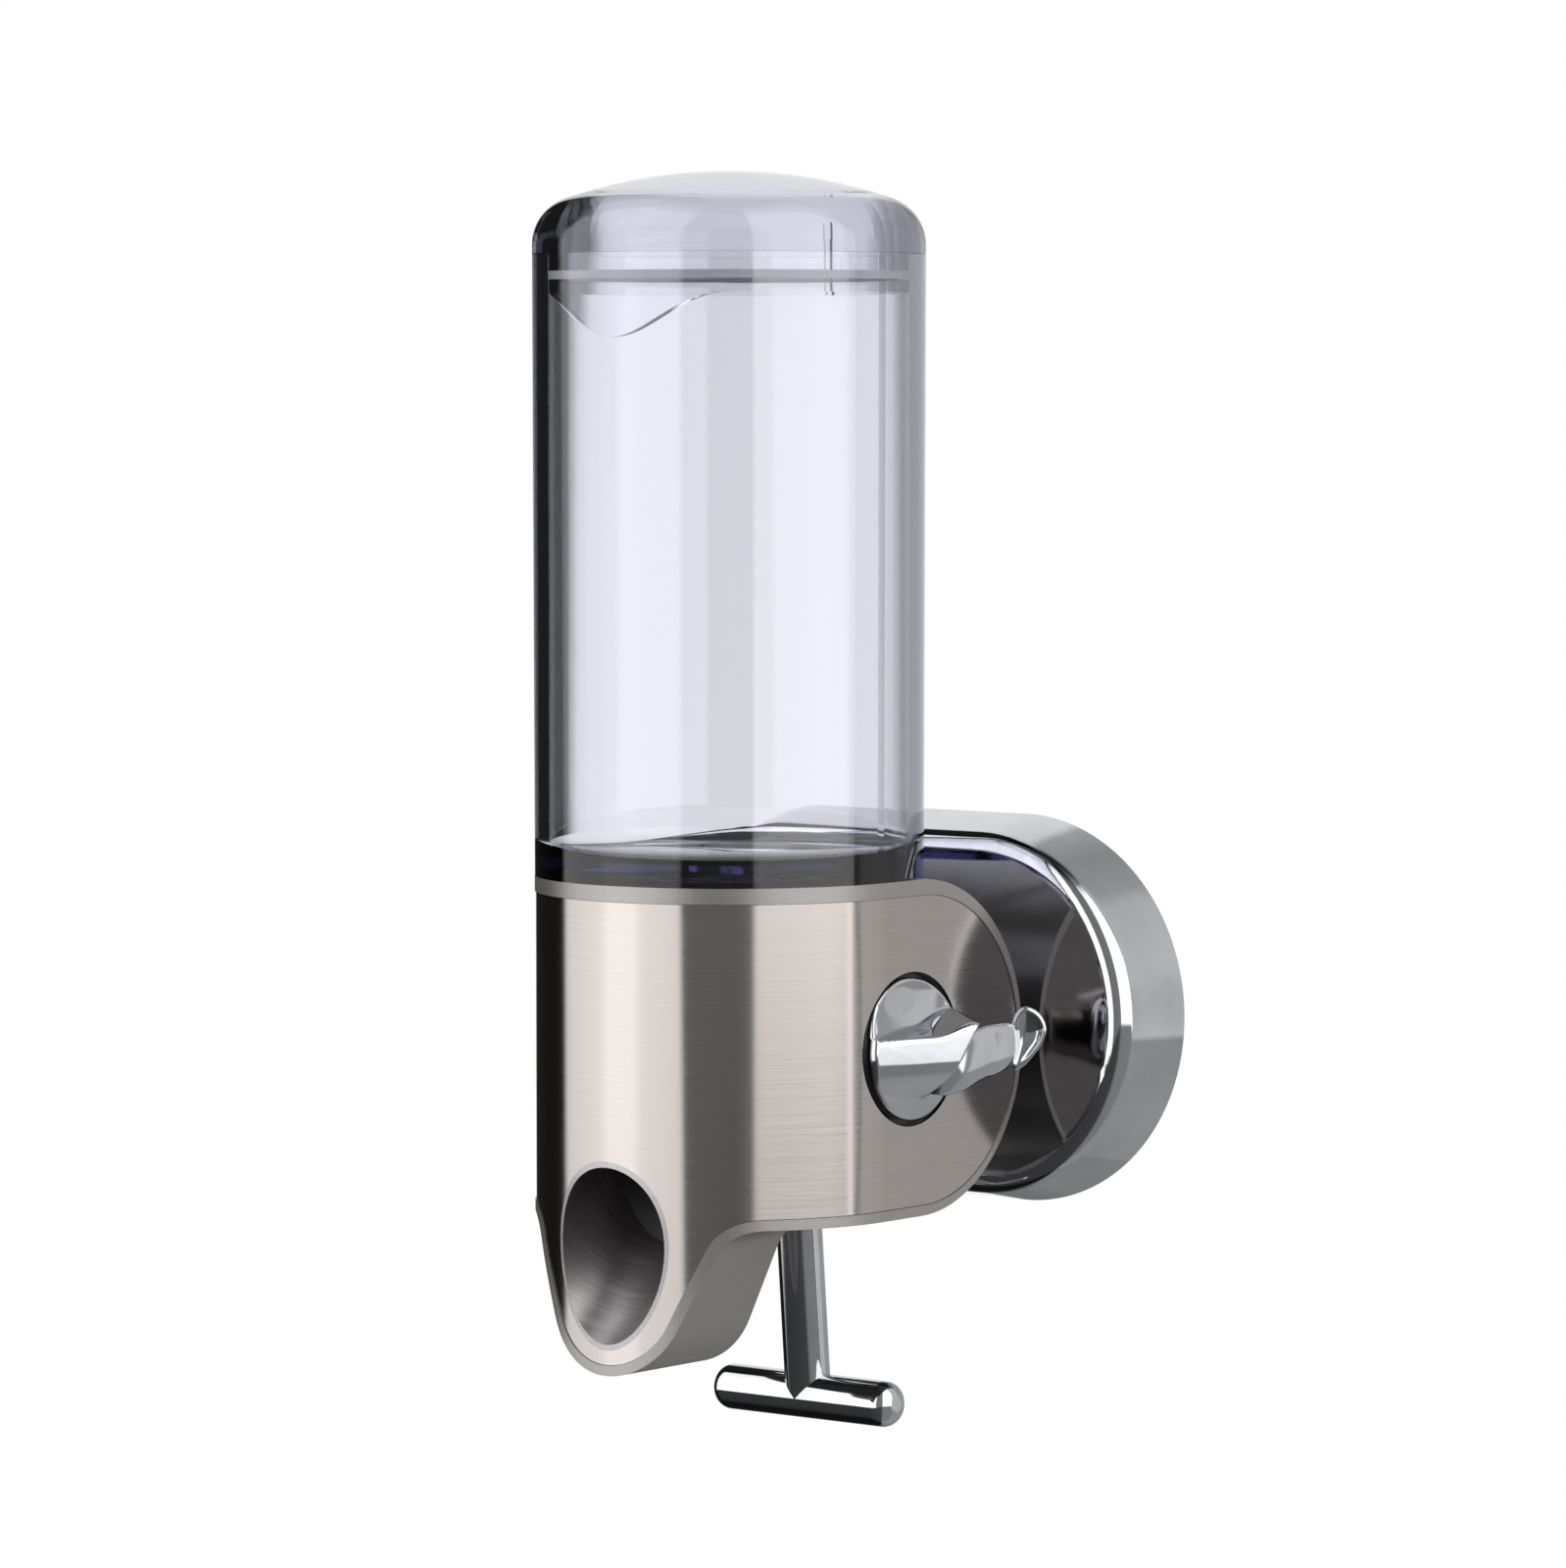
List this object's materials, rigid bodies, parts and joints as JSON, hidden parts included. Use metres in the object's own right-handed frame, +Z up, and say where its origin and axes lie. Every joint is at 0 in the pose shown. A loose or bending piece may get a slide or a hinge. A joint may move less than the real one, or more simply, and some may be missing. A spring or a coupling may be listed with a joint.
{
  "type": "wall mounted soap dispenser",
  "caption": "Clear cylindrical reservoir on a brushed steel body with a slanted spout tongue, a T-shaped pull lever below, a side lock lever and an oblong wall flange.",
  "frame": {"origin": "centre of the wall flange, on the wall plane", "axes": "+X along the wall to the lock knob's side, +Y into the wall, +Z up"},
  "size_m": [0.1244, 0.1018, 0.2434],
  "materials": {
    "chrome": "polished chrome plate",
    "brushed_steel": "stainless sheet, brushed round the body",
    "shell_silver": "satin silver lacquer on a die casting",
    "liner_steel": "drawn stainless tube, brushed along the bore",
    "clear_acrylic": "clear acrylic with a faint violet tint",
    "grey_gasket": "translucent grey silicone",
    "black_rubber": "black rubber",
    "black_plastic": "moulded black nylon",
    "white_plastic": "moulded acetal",
    "grey_plastic": "moulded grey ABS",
    "bracket_steel": "zinc-plated steel",
    "spring_steel": "bright spring wire"
  },
  "bodies": {
    "body": {"wall_bracket": "bracket_steel", "wall_flange": "chrome", "housing": "shell_silver", "front_cover": "brushed_steel", "floor_plate": "grey_plastic", "floor_screws": "spring_steel", "spout_liner": "liner_steel", "spout_plate": "black_plastic", "nozzle": "black_rubber", "outlet_tube": "white_plastic", "reservoir": "clear_acrylic", "reservoir_gasket": "black_rubber", "reservoir_nut": "white_plastic", "pump_barrel": "white_plastic", "inlet_valve": "black_rubber", "barrel_cap": "white_plastic", "pump_spring": "spring_steel", "pivot_pin": "spring_steel", "pin_clips": "spring_steel", "spindle_bush": "black_plastic"},
    "lever": {"lever_hub": "bracket_steel", "lever_bushes": "white_plastic", "lever_rod": "chrome", "crossbar": "chrome"},
    "piston": {"piston": "white_plastic", "piston_seal": "black_rubber", "piston_foot": "white_plastic"},
    "lock": {"lock_knob": "chrome", "lock_spindle": "bracket_steel", "spindle_clip": "spring_steel", "knob_washer": "white_plastic"},
    "lid": {"lid": "clear_acrylic", "lid_gasket": "grey_gasket"}
  },
  "joints": [
    {"name": "lever_pull", "type": "hinge", "parent": "body", "child": "lever", "pos_m": [0, -0.0445, -0.015], "axis": [-1, 0, 0], "range_deg": [0, 18], "stiffness_Nm_per_rad": 0.8, "springref_deg": -17.19},
    {"name": "piston_stroke", "type": "slide", "parent": "body", "child": "piston", "axis": [0, 0, 1], "range_m": [0, 0.0068], "deforming": ["pump_spring"]},
    {"name": "lock_turn", "type": "hinge", "parent": "body", "child": "lock", "pos_m": [0.0375, -0.055, -0.00325], "axis": [-1, 0, 0], "range_deg": [0, 90]},
    {"name": "lid_lift", "type": "slide", "parent": "body", "child": "lid", "axis": [0, 0, 1], "range_m": [0, 0.03]}
  ],
  "couplings": [
    {"joint": "piston_stroke", "follows": "lever_pull", "m_per_rad": 0.0214}
  ]
}
